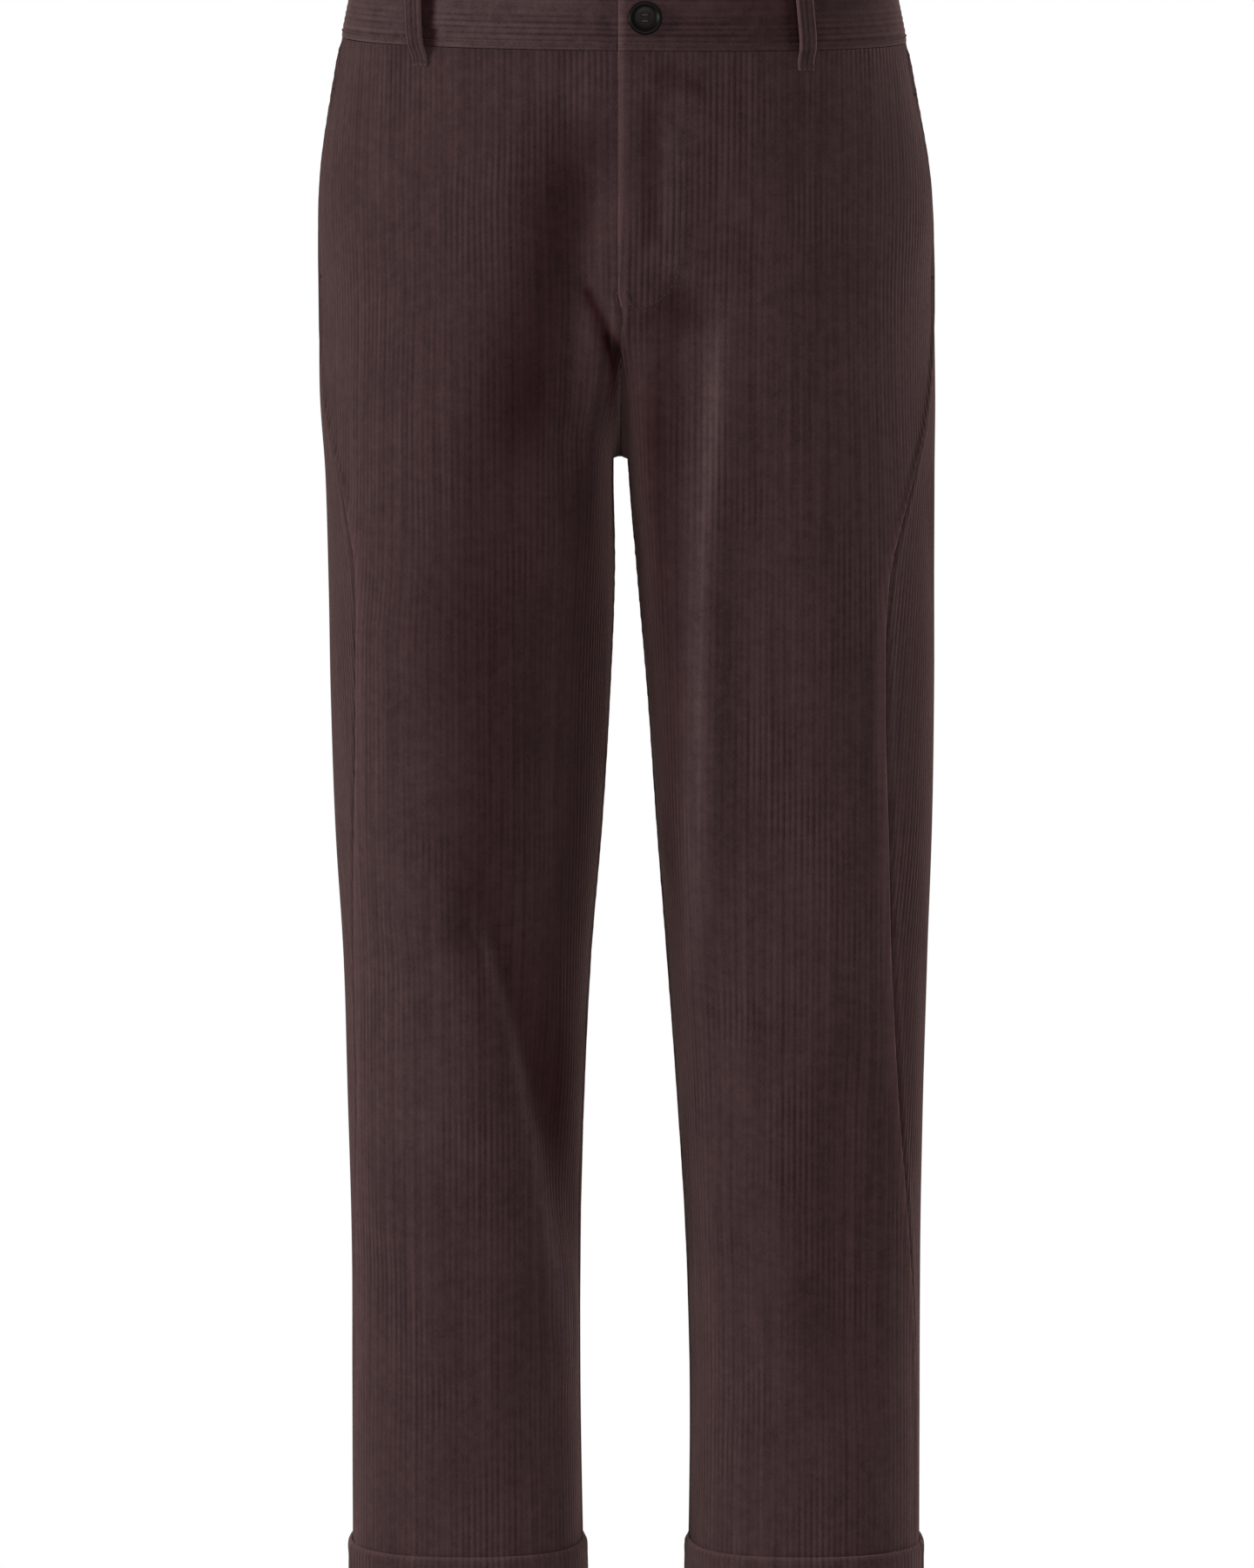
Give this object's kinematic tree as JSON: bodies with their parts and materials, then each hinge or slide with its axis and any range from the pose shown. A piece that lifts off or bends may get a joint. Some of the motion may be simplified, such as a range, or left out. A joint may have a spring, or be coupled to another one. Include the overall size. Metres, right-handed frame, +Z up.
{
  "type": "corduroy trousers with turn-ups",
  "caption": "Straight-leg dark brown corduroy trousers, hollow as when worn, with waistband, belt loops, buttoned fly, side pockets and turned-up hems.",
  "frame": {"origin": "middle of the waist opening, level with the top edge of the waistband at the sides", "axes": "+Z up, the front faces -Y, +X to the wearer's left; the legs hang down to about z = -1.0 m"},
  "size_m": [0.3804, 0.2674, 1.0106],
  "materials": {
    "corduroy": "matt cotton corduroy with upright wales and a short nap",
    "button": "dark horn-like resin, softly polished"
  },
  "bodies": {
    "root": {"front_left": "corduroy", "front_right": "corduroy", "back_left": "corduroy", "back_right": "corduroy", "waistband_left": "corduroy", "waistband_right": "corduroy", "loop_front_left": "corduroy", "loop_front_right": "corduroy", "loop_side_left": "corduroy", "loop_side_right": "corduroy", "loop_back": "corduroy", "turnup_front_left": "corduroy", "turnup_front_right": "corduroy", "turnup_back_left": "corduroy", "turnup_back_right": "corduroy", "pocket_left": "corduroy", "pocket_right": "corduroy", "button": "button"}
  },
  "joints": []
}
